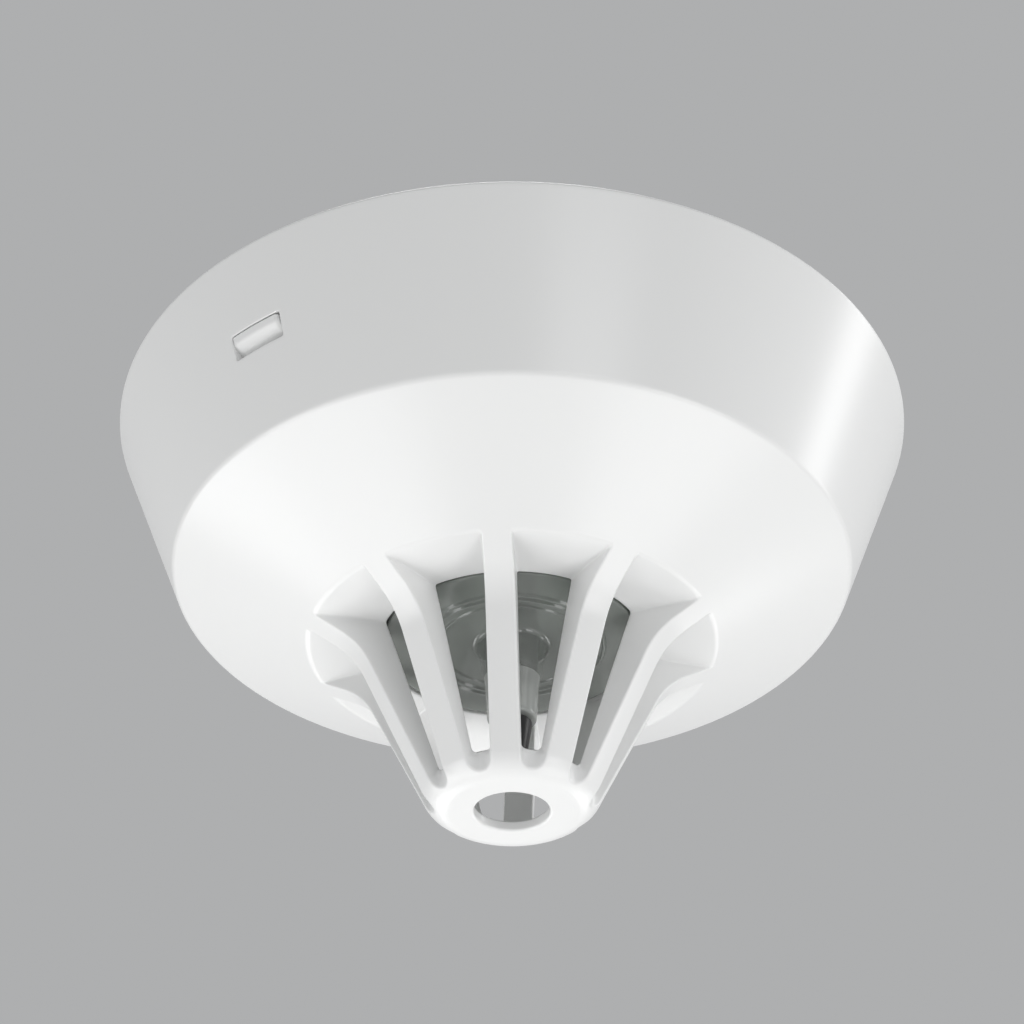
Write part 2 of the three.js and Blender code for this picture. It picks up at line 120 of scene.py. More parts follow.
def rounded(corners, steps=8):
    """An open outline of (r, z, fillet) corners with its filleted corners drawn as arcs."""
    out = [np.array(corners[0][:2], dtype=float)]
    for before, here, after in zip(corners, corners[1:], corners[2:]):
        p = np.array(here[:2], dtype=float)
        radius = here[2] if len(here) > 2 else 0
        if not radius:
            out.append(p)
            continue
        u = np.array(before[:2], dtype=float) - p
        v = np.array(after[:2], dtype=float) - p
        u /= np.linalg.norm(u)
        v /= np.linalg.norm(v)
        half = np.arccos(np.clip(u @ v, -1, 1)) / 2
        centre = p + (u + v) / np.linalg.norm(u + v) * radius / np.sin(half)
        a = p + u * radius / np.tan(half) - centre
        b = p + v * radius / np.tan(half) - centre
        turn = np.arctan2(a[0] * b[1] - a[1] * b[0], a @ b)
        for k in range(steps + 1):
            c, s = np.cos(turn * k / steps), np.sin(turn * k / steps)
            out.append(centre + np.array([c * a[0] - s * a[1], s * a[0] + c * a[1]]))
    out.append(np.array(corners[-1][:2], dtype=float))
    return np.array(out)


def with_support(points, step=1.6, edge=0.25):
    """Adds points along the long stretches, and close to their ends, so that smooth shading stays true."""
    out = [points[0]]
    for a, b in zip(points, points[1:]):
        length = np.linalg.norm(b - a)
        if length > 3 * edge:
            inner = np.linspace(edge / length, 1 - edge / length, max(2, int(length / step) + 1))
            out.extend(a + (b - a) * f for f in inner)
        out.append(b)
    return np.array(out)


def revolve(profile, columns, closed):
    """Points and quads of an outline of (r, z) points turned round Z."""
    theta = (np.arange(columns) + 0.5) * 360 / columns
    n = len(profile)
    r, z = profile[:, 0], profile[:, 1]
    across = np.ones(columns)
    points = at(r[:, None] * across, np.broadcast_to(theta, (n, columns)), z[:, None] * across)
    rows = n if closed else n - 1
    faces = []
    for i in range(rows):
        k = (i + 1) % n
        for j in range(columns):
            m = (j + 1) % columns
            faces.append((i * columns + j, i * columns + m, k * columns + m, k * columns + j))
    return points.reshape(-1, 3), faces


# ---- Cover: outlines -------------------------------------------------------------------------
skirt_slope = (RIM_R - SKIRT_R) / (RIM_Z - SKIRT_Z)
dish_slope = (SKIRT_Z - STAR_Z) / (SKIRT_R - STAR_R)
skirt_inset = WALL * np.hypot(1, skirt_slope)
dish_inset = WALL * np.hypot(1, dish_slope)


def skirt_r(z):
    return RIM_R - skirt_slope * (RIM_Z - z)


def inner_skirt_r(z):
    return skirt_r(z) - skirt_inset


def dish_z(r):
    return STAR_Z + dish_slope * (r - STAR_R)


# Where the inside faces of the skirt and the dish meet.
inner_edge_z = dish_z(0) + dish_inset + dish_slope * inner_skirt_r(0)
inner_edge_z /= 1 - dish_slope * skirt_slope
inner_edge_r = inner_skirt_r(inner_edge_z)
floor_r = (FLOOR_TOP_Z - dish_inset - dish_z(0)) / dish_slope

# The ribbed middle, as one closed outline inside the cut circle.
middle_outline = rounded([
    (CUT_R + CUT_MARGIN, dish_z(CUT_R + CUT_MARGIN)),
    (NECK_R, NECK_Z, NECK_FILLET),
    (CAGE_R, CAGE_Z),
    (FOOT_R, TIP_Z, FOOT_ROUND),
    (HOLE_R, TIP_Z, HOLE_ROUND),
    (HOLE_R, TIP_Z + TIP_WALL, HOLE_ROUND),
    (VENT_FOOT_R - VENT_BASE_IN, TIP_Z + TIP_WALL, VENT_BASE_ROUND),
    (VENT_FOOT_R, VENT_FOOT_Z),
    (VENT_R, VENT_Z),
    (VENT_R, FLOOR_TOP_Z),
    (floor_r, FLOOR_TOP_Z),
    (CUT_R + CUT_MARGIN, dish_z(CUT_R + CUT_MARGIN) + dish_inset),
], steps=14)


def signed_distance(points, outline):
    """Distance from (r, z) points to a closed outline, negative inside it."""
    best = np.full(len(points), np.inf)
    inside = np.zeros(len(points), dtype=bool)
    for p, q in zip(outline, np.roll(outline, -1, axis=0)):
        edge = q - p
        w = points - p
        along = np.clip((w @ edge) / max(edge @ edge, 1e-12), 0, 1)
        away = w - along[:, None] * edge
        best = np.minimum(best, np.einsum("ij,ij->i", away, away))
        crosses = (p[1] > points[:, 1]) != (q[1] > points[:, 1])
        with np.errstate(divide="ignore", invalid="ignore"):
            at_r = p[0] + (points[:, 1] - p[1]) / (q[1] - p[1]) * edge[0]
        inside ^= crosses & (points[:, 0] < at_r)
    distance = np.sqrt(best)
    return np.where(inside, -distance, distance)


def meet(a, b, radius):
    """Where two solids overlap, with the edge between them rounded. Negative is inside."""
    u = np.maximum(a + radius, 0)
    v = np.maximum(b + radius, 0)
    return np.minimum(np.maximum(a, b), -radius) + np.hypot(u, v)


def slot_field(r, theta, z):
    """The open space between two ribs: negative inside it. theta is measured from the nearest rib."""
    side = RIB_W / 2 - np.abs(r * np.sin(np.radians(theta)))
    floor = z - (VENT_Z + (STAR_Z - VENT_Z) * (r - VENT_R) / (STAR_R - VENT_R))
    foot = VENT_FOOT_R - r + FOOT_DRAFT * (z - VENT_FOOT_Z)
    foot_round = np.clip(FOOT_SQUARE + FOOT_SPREAD * (VENT_FOOT_Z - z), FOOT_SQUARE, FOOT_HOLLOW)
    return meet(meet(side, floor, FLOOR_ROUND), foot, foot_round)


def cover_field(r, theta, z, plain=None):
    """The moulding: the plain turned shape, less the space between the ribs. Negative inside it."""
    if plain is None:
        plain = signed_distance(np.stack([r, z], axis=-1), middle_outline)
    return meet(plain, -slot_field(r, theta, z), EDGE_ROUND)


def nearest_rib(theta):
    return (theta + PITCH / 2) % PITCH - PITCH / 2


LONGEST_MOVE = 0.6 * GRID


def ribbed_middle():
    """Points and quads of the cage, the floor between its ribs and the tip, out to the cut circle.

    One rib pitch is worked out on a grid of cells in r, theta and z, and then repeated round the axis.
    """
    rs = np.arange(HOLE_R - 1.03, CUT_R + 1e-6, GRID)
    rs = np.append(rs[:-1], CUT_R)
    zs = np.arange(TIP_Z - 0.77, dish_z(CUT_R) + dish_inset + 1.0, GRID)
    ts = np.arange(STEPS_PER_RIB + 1) * PITCH / STEPS_PER_RIB
    rr, zz = np.meshgrid(rs, zs, indexing="ij")
    plain = signed_distance(np.stack([rr.ravel(), zz.ravel()], axis=-1), middle_outline)
    plain = plain.reshape(rr.shape)[:, None, :]
    field = cover_field(rr[:, None, :], nearest_rib(ts)[None, :, None], zz[:, None, :], plain)
    field = np.where(np.abs(field) < 1e-9, 1e-9, field)
    nr, nt, nz = len(rs) - 1, STEPS_PER_RIB, len(zs) - 1
    solid = field < 0

    # One vertex in each cell that the surface passes through, at the mean of its edges' crossings.
    total = np.zeros((nr, nt, nz, 3))
    count = np.zeros((nr, nt, nz))
    for axis in range(3):
        for b in (0, 1):
            for c in (0, 1):
                low = [0, 0, 0]
                others = [k for k in range(3) if k != axis]
                low[others[0]], low[others[1]] = b, c
                high = list(low)
                high[axis] = 1
                fa, fb = (
                    field[tuple(slice(o, o + n) for o, n in zip(corner, (nr, nt, nz)))]
                    for corner in (low, high)
                )
                hit = (fa < 0) != (fb < 0)
                share = np.where(hit, fa / np.where(hit, fa - fb, 1), 0)
                place = [np.full(hit.shape, float(o)) for o in low]
                place[axis] = share
                for k in range(3):
                    total[..., k] += np.where(hit, place[k], 0)
                count += hit
    active = count > 0
    index = np.full((nr, nt, nz), -1)
    index[active] = np.arange(active.sum())
    i, j, k = np.nonzero(active)
    mean = total[active] / count[active][:, None]
    r = rs[i] + mean[:, 0] * (rs[i + 1] - rs[i])
    theta = (j + mean[:, 1]) * PITCH / STEPS_PER_RIB
    z = zs[k] + mean[:, 2] * GRID

    # Newton steps on to the true surface, except on the cut circle, where the plain dish takes over.
    edge = i == nr - 1
    for _ in range(3):
        value, slope = field_and_slope(r, theta, z)
        length2 = np.maximum((slope ** 2).sum(axis=1), 1e-6)
        move = np.clip(value / length2, -LONGEST_MOVE, LONGEST_MOVE)
        r = r - move * slope[:, 0]
        theta = theta - np.degrees(move * slope[:, 1] / r)
        z = z - move * slope[:, 2]
    outer = z < (dish_z(CUT_R) + dish_inset / 2)
    r = np.where(edge, CUT_R, r)
    theta = np.where(edge, (j + 0.5) * PITCH / STEPS_PER_RIB, theta)
    z = np.where(edge, np.where(outer, dish_z(CUT_R), dish_z(CUT_R) + dish_inset), z)

    # A quad round each grid edge that the surface crosses. spin says which of a quad's corners are in the
    # pitch before this one.
    quads = []
    spin = []
    for axis in range(3):
        b, c = (axis + 1) % 3, (axis + 2) % 3
        low = [slice(None)] * 3
        high = [slice(None)] * 3
        low[axis], high[axis] = slice(0, -1), slice(1, None)
        sa, sb = solid[tuple(low)], solid[tuple(high)]
        hits = np.argwhere(sa != sb)
        if axis != 1:
            hits = hits[hits[:, 1] < nt]
        sizes = (nr, nt, nz)
        keep = np.ones(len(hits), dtype=bool)
        for m in (b, c):
            if m != 1:
                keep &= (hits[:, m] > 0) & (hits[:, m] < sizes[m])
        hits = hits[keep]
        cells = []
        turns = []
        for db, dc in ((-1, -1), (0, -1), (0, 0), (-1, 0)):
            cell = hits.copy()
            cell[:, b] += db
            cell[:, c] += dc
            turn = np.where(cell[:, 1] < 0, -1, 0)
            cell[:, 1] %= nt
            cells.append(index[cell[:, 0], cell[:, 1], cell[:, 2]])
            turns.append(turn)
        flip = sa[tuple(hits.T)]
        quad = np.stack(cells, axis=1)
        turn = np.stack(turns, axis=1)
        quad = np.where(flip[:, None], quad, quad[:, ::-1])
        turn = np.where(flip[:, None], turn, turn[:, ::-1])
        quads.append(quad)
        spin.append(turn)
    quads = np.concatenate(quads)
    spin = np.concatenate(spin)

    count = len(r)
    points = np.concatenate([at(r, theta + PITCH * n, z) for n in range(RIBS)])
    faces = np.concatenate([((spin + n) % RIBS) * count + quads for n in range(RIBS)])
    return points, faces


def field_and_slope(r, theta, z):
    """The cover's field and its slope along r, round theta and along z, in true millimetres."""
    h = 0.01
    turn = np.degrees(h / r)
    value = cover_field(r, nearest_rib(theta), z)
    along_r = cover_field(r + h, nearest_rib(theta), z) - cover_field(r - h, nearest_rib(theta), z)
    along_t = cover_field(r, nearest_rib(theta + turn), z) - cover_field(r, nearest_rib(theta - turn), z)
    along_z = cover_field(r, nearest_rib(theta), z + h) - cover_field(r, nearest_rib(theta), z - h)
    return value, np.stack([along_r, along_t, along_z], axis=1) / (2 * h)


# ---- Cover: plain dish and skirt, with the release tab's window ------------------------------
WINDOW_COLUMNS = 32         # columns that the window's patch spans
WINDOW_ROWS = 20
WINDOW_EDGE_ROUND, WINDOW_CORNER = 0.13, 0.3
WINDOW_Z = (WINDOW_TOP + WINDOW_BOTTOM) / 2
PATCH_MARGIN = 2.2
PATCH_TOP, PATCH_BOTTOM = WINDOW_TOP + PATCH_MARGIN, WINDOW_BOTTOM - PATCH_MARGIN
window_first = int(round((WINDOW_THETA % 360) / 360 * COLUMNS - 0.5)) - WINDOW_COLUMNS // 2


def window_loops():
    """The window's patch, from its border on the outer face to that on the inner.

    Each loop has its (theta, z) points and its depth below the outer face.
    """
    columns = (window_first + np.arange(WINDOW_COLUMNS + 1) + 0.5) * 360 / COLUMNS
    centre = columns.mean()
    mid_r = skirt_r(WINDOW_Z)
    u = np.linspace(-1, 1, WINDOW_COLUMNS + 1)
    v = np.linspace(1, -1, WINDOW_ROWS + 1)
    walk = [(a, 1) for a in u[:-1]] + [(1, b) for b in v[:-1]]
    walk += [(a, -1) for a in u[:0:-1]] + [(-1, b) for b in v[:0:-1]]
    walk = np.array(walk)
    border = np.stack([
        centre + walk[:, 0] * (columns[-1] - centre),
        (PATCH_TOP + PATCH_BOTTOM) / 2 + walk[:, 1] * (PATCH_TOP - PATCH_BOTTOM) / 2,
    ], axis=1)
    half = np.array([WINDOW_W / 2, (WINDOW_TOP - WINDOW_BOTTOM) / 2])

    def mouth(grow):
        """The window's rounded outline, grown outwards by some millimetres."""
        size = half + grow
        radius = WINDOW_CORNER + grow
        flat = walk * size
        beyond = np.abs(flat) - (size - radius)
        corner = (beyond > 0).all(axis=1)
        length = np.maximum(np.linalg.norm(beyond, axis=1), 1e-9)
        pulled = (size - radius) + beyond / length[:, None] * radius
        flat = np.where(corner[:, None], np.sign(flat) * pulled, flat)
        return np.stack([centre + np.degrees(flat[:, 0] / mid_r), WINDOW_Z + flat[:, 1]], axis=1)

    def round_edge(degrees):
        """The outline and its depth at a place on the rounded edge: 0 on the face, 90 on the wall."""
        a = np.radians(degrees)
        return mouth(WINDOW_EDGE_ROUND * (1 - np.sin(a))), WINDOW_EDGE_ROUND * (1 - np.cos(a))

    start = mouth(WINDOW_EDGE_ROUND)
    loops = [(border * (1 - f) + start * f, 0.0) for f in (0, 0.3, 0.6, 0.85)]
    loops += [round_edge(degrees) for degrees in (0, 22.5, 45, 67.5, 90)]
    for degrees in (90, 45, 0):
        outline, depth = round_edge(degrees)
        loops.append((outline, WALL - depth))
    loops += [(border * (1 - f) + start * f, WALL) for f in (0.6, 0.0)]
    return loops


def plain_outer():
    """Points and quads of the dish and skirt, outside the cut circle."""
    outer = with_support(rounded([
        (CUT_R, dish_z(CUT_R)), (SKIRT_R, SKIRT_Z, SKIRT_ROUND),
        (RIM_R, RIM_Z, RIM_ROUND), (RIM_R - RIM_W, RIM_Z),
    ], steps=10))
    inner = with_support(rounded([
        (RIM_R - RIM_W, RIM_Z), (RIM_R - skirt_inset, RIM_Z, RIM_INNER_ROUND),
        (inner_edge_r, inner_edge_z, SKIRT_INNER_ROUND), (CUT_R, dish_z(CUT_R) + dish_inset),
    ], steps=6))

    # Rows at the patch's own heights replace those on the skirt, so that its border falls on the grid.
    heights = np.linspace(PATCH_TOP, PATCH_BOTTOM, WINDOW_ROWS + 1)
    near, on_face = 0.4, 0.05

    def regrid(profile, r_of_z, rising):
        on_wall = (profile[:, 1] > PATCH_BOTTOM - near) & (profile[:, 1] < PATCH_TOP + near)
        on_wall &= np.abs(profile[:, 0] - r_of_z(profile[:, 1])) < on_face
        first = int(np.nonzero(on_wall)[0][0])
        rows = heights[::-1] if rising else heights
        band = np.stack([r_of_z(rows), rows], axis=1)
        kept = profile[~on_wall]
        return np.concatenate([kept[:first], band, kept[first:]]), first

    outer, outer_first = regrid(outer, skirt_r, rising=True)
    inner, inner_first = regrid(inner, inner_skirt_r, rising=False)
    profile = np.concatenate([outer, inner[1:]])
    inner_first += len(outer) - 1
    points, faces = revolve(profile, COLUMNS, closed=False)
    skip = set()
    for first in (outer_first, inner_first):
        for i in range(first, first + WINDOW_ROWS):
            for c in range(WINDOW_COLUMNS):
                skip.add(i * COLUMNS + (window_first + c) % COLUMNS)
    faces = [f for n, f in enumerate(faces) if n not in skip]

    patch = []
    tilt = np.hypot(1, skirt_slope)
    for loop, depth in window_loops():
        theta, z = loop.T
        if depth == WALL:
            patch.append(at(inner_skirt_r(z), theta, z))
        else:
            patch.append(at(skirt_r(z) - depth / tilt, theta, z + depth * skirt_slope / tilt))
    n = len(patch[0])
    base = len(points)
    points = np.concatenate([points, *patch])
    for i in range(len(patch) - 1):
        for j in range(n):
            m = (j + 1) % n
            faces.append((base + i * n + j, base + (i + 1) * n + j, base + (i + 1) * n + m, base + i * n + m))
    return points, faces


def joined(name, parts, material, gap=0.002):
    """One mesh from several sets of points and faces, welded where their borders meet."""
    points, faces, base = [], [], 0
    for part_points, part_faces in parts:
        points.append(part_points)
        faces.extend(tuple(int(v) + base for v in f) for f in part_faces)
        base += len(part_points)
    obj = make_object(name, np.concatenate(points), faces, material)
    bm = bmesh.new()
    bm.from_mesh(obj.data)
    bmesh.ops.remove_doubles(bm, verts=bm.verts, dist=gap * MM)
    bmesh.ops.recalc_face_normals(bm, faces=bm.faces)
    bm.to_mesh(obj.data)
    bm.free()
    obj.data.update()
    return obj


def revolved(name, outline, columns, material, closed=True):
    """A solid of revolution. An outline that isn't closed starts and ends on the axis, with a pole there."""
    points, faces = revolve(with_support(outline), columns, closed)
    return joined(name, [(points, faces)], material)


def lofted(sections):
    """Points and quads of a closed solid through a row of outlines with equally many points."""
    n = len(sections[0])
    points = np.concatenate(sections)
    faces = []
    for s in range(len(sections) - 1):
        for j in range(n):
            m = (j + 1) % n
            faces.append((s * n + j, s * n + m, (s + 1) * n + m, (s + 1) * n + j))
    faces.append(tuple(range(n))[::-1])
    faces.append(tuple((len(sections) - 1) * n + j for j in range(n)))
    return points, faces


def box_points(low, high):
    (a, b, c), (d, e, f) = low, high
    points = [(x, y, z) for x in (a, d) for y in (b, e) for z in (c, f)]
    return points, [(0, 1, 3, 2), (4, 6, 7, 5), (0, 4, 5, 1), (2, 3, 7, 6), (0, 2, 6, 4), (1, 5, 7, 3)]


def bevelled(obj, width, segments=3, angle=32):
    """Rounds an object's sharp edges, and keeps its flat faces flat."""
    bevel = obj.modifiers.new("edge_rounds", "BEVEL")
    bevel.width = width * MM
    bevel.segments = segments
    bevel.limit_method = "ANGLE"
    bevel.angle_limit = np.radians(angle)
    bevel.harden_normals = True
    return obj


def carve(obj, tools, operation):
    """Joins or cuts an object with temporary tool objects."""
    for tool in tools:
        boolean = obj.modifiers.new("carve", "BOOLEAN")
        boolean.operation = operation
        boolean.solver = "EXACT"
        boolean.object = tool
    bpy.context.view_layer.update()
    graph = bpy.context.evaluated_depsgraph_get()
    result = bpy.data.meshes.new_from_object(obj.evaluated_get(graph))
    obj.modifiers.clear()
    obj.data = result
    for tool in tools:
        bpy.data.objects.remove(tool)
    return obj


# ---- Materials -------------------------------------------------------------------------------
def material(name, color, roughness, **sockets):
    """A Principled material and its shader node."""
    mat = bpy.data.materials.new(name)
    mat.use_nodes = True
    shader = mat.node_tree.nodes["Principled BSDF"]
    shader.inputs["Base Color"].default_value = (*color, 1)
    shader.inputs["Roughness"].default_value = roughness
    for socket, value in sockets.items():
        shader.inputs[socket.replace("_", " ")].default_value = value
    return mat


def add_node(mat, kind, **settings):
    node = mat.node_tree.nodes.new(kind)
    for key, value in settings.items():
        if hasattr(node, key):
            setattr(node, key, value)
        else:
            node.inputs[key.replace("_", " ")].default_value = value
    return node


def noise(mat, scale, detail=2.0, rough=0.5):
    """Noise in the object's own millimetres."""
    tree = mat.node_tree
    place = tree.nodes.new("ShaderNodeTexCoord")
    node = add_node(mat, "ShaderNodeTexNoise", Scale=scale / MM, Detail=detail, Roughness=rough)
    tree.links.new(place.outputs["Object"], node.inputs["Vector"])
    return node.outputs["Fac"]


def spread(mat, value, low, high, start=0.2, end=0.8):
    """A value between low and high, as a noise goes from start to end."""
    node = mat.node_tree.nodes.new("ShaderNodeMapRange")
    node.clamp = False
    for socket, number in (("From Min", start), ("From Max", end), ("To Min", low), ("To Max", high)):
        node.inputs[socket].default_value = number
    mat.node_tree.links.new(value, node.inputs["Value"])
    return node.outputs["Result"]


def shader_of(mat):
    return mat.node_tree.nodes["Principled BSDF"]


def color_between(mat, dark, light, factor):
    """Links the base colour to a mix of two colours."""
    tree = mat.node_tree
    mix = add_node(mat, "ShaderNodeMix", data_type="RGBA")
    mix.inputs["A"].default_value = (*dark, 1)
    mix.inputs["B"].default_value = (*light, 1)
    tree.links.new(factor, mix.inputs["Factor"])
    tree.links.new(mix.outputs["Result"], shader_of(mat).inputs["Base Color"])


def vary_roughness(mat, scale, low, high):
    mat.node_tree.links.new(spread(mat, noise(mat, scale), low, high), shader_of(mat).inputs["Roughness"])


def vary_color(mat, scale, dark, light, detail=3.0):
    color_between(mat, dark, light, spread(mat, noise(mat, scale, detail), 0, 1))


def bump(mat, height, strength, distance):
    node = add_node(mat, "ShaderNodeBump", Strength=strength, Distance=distance * MM)
    mat.node_tree.links.new(height, node.inputs["Height"])
    mat.node_tree.links.new(node.outputs["Normal"], shader_of(mat).inputs["Normal"])


def moulded(name, dark, light, rough_low, rough_high, grain=0, depth=0):
    """Moulded plastic: a faint cloudiness, uneven gloss and, where it isn't polished, a fine grain."""
    mat = material(name, light, rough_low, IOR=1.53)
    vary_color(mat, 1.5, dark, light, detail=1)
    vary_roughness(mat, 1.2, rough_low, rough_high)
    if grain:
        bump(mat, noise(mat, grain, 3.0), 0.25, depth)
    return mat


cover_white = material("cover_white", (0.8145, 0.8165, 0.8135), 0.28, IOR=1.53)
base_white = moulded("base_white", (0.70, 0.70, 0.67), (0.74, 0.74, 0.71), 0.46, 0.56, 2.2, 0.02)
sleeve_grey = moulded("sleeve_grey", (0.018, 0.018, 0.019), (0.026, 0.026, 0.027), 0.45, 0.6, 3.0, 0.02)
bead_black = moulded("bead_black", (0.01, 0.01, 0.0105), (0.016, 0.016, 0.017), 0.32, 0.4)
chip_black = moulded("chip_black", (0.012, 0.012, 0.013), (0.02, 0.02, 0.021), 0.5, 0.62, 6.0, 0.01)
suppressor_blue = moulded("suppressor_blue", (0.03, 0.09, 0.28), (0.05, 0.14, 0.38), 0.3, 0.4, 1.0, 0.02)


def clear_plastic(name, opacity, gloss, tint=(0.42, 0.445, 0.42)):
    """Clear polycarbonate with a smoky green-grey tint."""
    mat = material(name, tint, 0.09, IOR=1.585, Alpha=opacity, Specular_IOR_Level=gloss)
    vary_color(mat, 0.12, tuple(0.96 * c for c in tint), tuple(1.04 * c for c in tint))
    return mat


smoky_clear = clear_plastic("smoky_clear", 0.52, 1.0)
smoky_clear_neck = clear_plastic("smoky_clear_neck", 0.46, 1.0)
# The boss's copy of the clear plastic is tinted lighter than the disc: painted light, standing in for the
# light that the clear boss shows below the sleeve.
smoky_clear_boss_painted_light = clear_plastic("smoky_clear_boss_painted_light", 0.60, 1.0, (0.62, 0.64, 0.62))
smoky_clear_inside = clear_plastic("smoky_clear_inside", 0.06, 0.5)


def metal(name, color, roughness, scratch):
    """Plated or rolled metal with fine uneven polish."""
    mat = material(name, color, roughness, Metallic=1.0)
    vary_roughness(mat, scratch, roughness * 0.75, roughness * 1.3)
    vary_color(mat, 0.5, tuple(0.82 * c for c in color), color)
    return mat


tinned_wire = metal("tinned_wire", (0.66, 0.66, 0.63), 0.3, 2.0)
spring_brass = metal("spring_brass", (0.74, 0.53, 0.24), 0.28, 1.2)
zinc_steel = metal("zinc_steel", (0.62, 0.63, 0.66), 0.32, 1.5)
capacitor_can = metal("capacitor_can", (0.66, 0.67, 0.69), 0.38, 1.0)


def circuit_board_material():
    """Green solder mask over copper tracks: the tracks lift and lighten the mask."""
    mat = material("circuit_board", (0.02, 0.14, 0.06), 0.35, Coat_Weight=0.4, Coat_Roughness=0.15)
    tree = mat.node_tree
    place = tree.nodes.new("ShaderNodeTexCoord")
    cells = add_node(mat, "ShaderNodeTexVoronoi", feature="DISTANCE_TO_EDGE", distance="EUCLIDEAN")
    cells.inputs["Scale"].default_value = 0.28 / MM
    cells.inputs["Randomness"].default_value = 0.55
    tree.links.new(place.outputs["Object"], cells.inputs["Vector"])
    track = spread(mat, cells.outputs["Distance"], 1.0, 0.0, 0.05, 0.08)
    color_between(mat, (0.17, 0.24, 0.18), (0.19, 0.28, 0.20), track)
    bump(mat, track, 0.4, 0.035)
    return mat


circuit_board = circuit_board_material()
led_red = material("led_red", (0.55, 0.03, 0.02), 0.08, IOR=1.5, Coat_Weight=0.5)
vary_color(led_red, 0.8, (0.45, 0.02, 0.015), (0.6, 0.04, 0.03))

slot_materials = {
    "cover_white": cover_white, "smoky_clear": smoky_clear, "bead_black": bead_black,
    "sleeve_grey": sleeve_grey, "tinned_wire": tinned_wire, "circuit_board": circuit_board,
    "led_red": led_red, "chip_black": chip_black, "capacitor_can": capacitor_can,
    "suppressor_blue": suppressor_blue, "base_white": base_white, "spring_brass": spring_brass,
    "zinc_steel": zinc_steel,
}
slot_of = {subpart["node"]: subpart["material_slot"] for subpart in frame["record"]["subparts"]}
for name, slot in slot_of.items():
    node = frame["nodes"][name]
    node.data.materials.clear()
    node.data.materials.append(slot_materials[slot])


def fit_piece(obj, body, slot, *nodes):
    """Says what a new piece rides on, and hides the CAD nodes that it stands for. slot is not used."""
    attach(obj, body)
    if nodes:
        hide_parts(*nodes)
    return obj


# ---- Cover -----------------------------------------------------------------------------------
def with_true_normals(obj):
    """Shades the ribbed middle by the slope of its own field, so that its small edge rounds stay crisp."""
    mesh = obj.data
    count = len(mesh.vertices)
    places = np.empty(count * 3)
    normals = np.empty(count * 3)
    mesh.vertices.foreach_get("co", places)
    mesh.vertices.foreach_get("normal", normals)
    x, y, z = places.reshape(-1, 3).T / MM
    normals = normals.reshape(-1, 3)
    r = np.hypot(x, y)
    theta = np.degrees(np.arctan2(x, -y))
    middle = r < CUT_R - 0.3
    _, slope = field_and_slope(r[middle], theta[middle], z[middle])
    t = np.radians(theta[middle])
    out, round_z, up = slope.T
    normals[middle] = np.stack([
        out * np.sin(t) + round_z * np.cos(t), -out * np.cos(t) + round_z * np.sin(t), up,
    ], axis=1)
    normals /= np.linalg.norm(normals, axis=1)[:, None]
    mesh.normals_split_custom_set_from_vertices(normals.tolist())
    return obj


cover = with_true_normals(joined("cover_moulding", [ribbed_middle(), plain_outer()], cover_white))
fit_piece(cover, "head", "cover_white", "outer_cover")

# ---- Light guide: smoky disc with ring ridges and a tapered boss -----------------------------
guide_low, guide_high = box_of("light_guide")
GUIDE_FACE, GUIDE_FLANGE_Z, GUIDE_TOP = -32.5, -30.8, -29.3
GUIDE_PLUG_R, GUIDE_FLANGE_R, GUIDE_ROUND = 16.4, guide_high[0], 0.2
BOSS_FOOT = guide_low[2]
BOSS_TAPER = (
    (3.1, BOSS_FOOT, 0.3), (3.25, -41.6), (3.45, -38.4, 12.0), (4.1, -34.5, 8.0), (4.6, GUIDE_FACE, 0.7),
)
SLEEVE_BORE_R, SLEEVE_BORE_END = 3.6, -36.9
LEAD_BORE_R, LEAD_BORE_END = 1.7, -37.7
(_, _, sleeve_foot), (sleeve_r, _, sleeve_top) = box_of("thermistor_sleeve")
RIDGES = ((9.3, 0.3, 0.22), (10.75, 0.32, 0.32), (11.75, 0.32, 0.32))     # radius, half width, height
RIDGE_CREST, RIDGE_ROUND, CREST_ROUND = 0.4, 0.06, 0.08


def guide_outline():
    corners = [
        (SLEEVE_BORE_R, GUIDE_TOP), (SLEEVE_BORE_R, SLEEVE_BORE_END), (LEAD_BORE_R, LEAD_BORE_END),
        (LEAD_BORE_R, BOSS_FOOT), *BOSS_TAPER,
    ]
    for r, half, height in RIDGES:
        crest = half * RIDGE_CREST
        corners += [
            (r - half, GUIDE_FACE, RIDGE_ROUND), (r - crest, GUIDE_FACE - height, CREST_ROUND),
            (r + crest, GUIDE_FACE - height, CREST_ROUND), (r + half, GUIDE_FACE, RIDGE_ROUND),
        ]
    corners += [
        (GUIDE_PLUG_R, GUIDE_FACE, GUIDE_ROUND), (GUIDE_PLUG_R, GUIDE_FLANGE_Z),
        (GUIDE_FLANGE_R, GUIDE_FLANGE_Z, GUIDE_ROUND), (GUIDE_FLANGE_R, GUIDE_TOP, GUIDE_ROUND),
        (SLEEVE_BORE_R, GUIDE_TOP),
    ]
    return rounded(corners, steps=4)[:-1]


guide = revolved("light_guide_moulding", guide_outline(), 240, smoky_clear)
for finish in (smoky_clear_inside, smoky_clear_neck, smoky_clear_boss_painted_light):
    guide.data.materials.append(finish)
INSIDE, NECK, BOSS = 1, 2, 3
BELOW_RIDGES = GUIDE_FACE - 0.6
BORE_LIMIT = SLEEVE_BORE_R + 0.1
# Boss faces below the sleeve take the lighter-tinted copy, which is painted light.
for face in guide.data.polygons:
    outwards = face.normal.x * face.center.x + face.normal.y * face.center.y
    if face.normal.z > 0.5 or outwards < 0 and np.hypot(*face.center.xy) < BORE_LIMIT * MM:
        face.material_index = INSIDE
    elif face.center.z < sleeve_foot * MM:
        face.material_index = BOSS
    elif face.center.z < BELOW_RIDGES * MM:
        face.material_index = NECK
fit_piece(guide, "head", "smoky_clear", "light_guide")

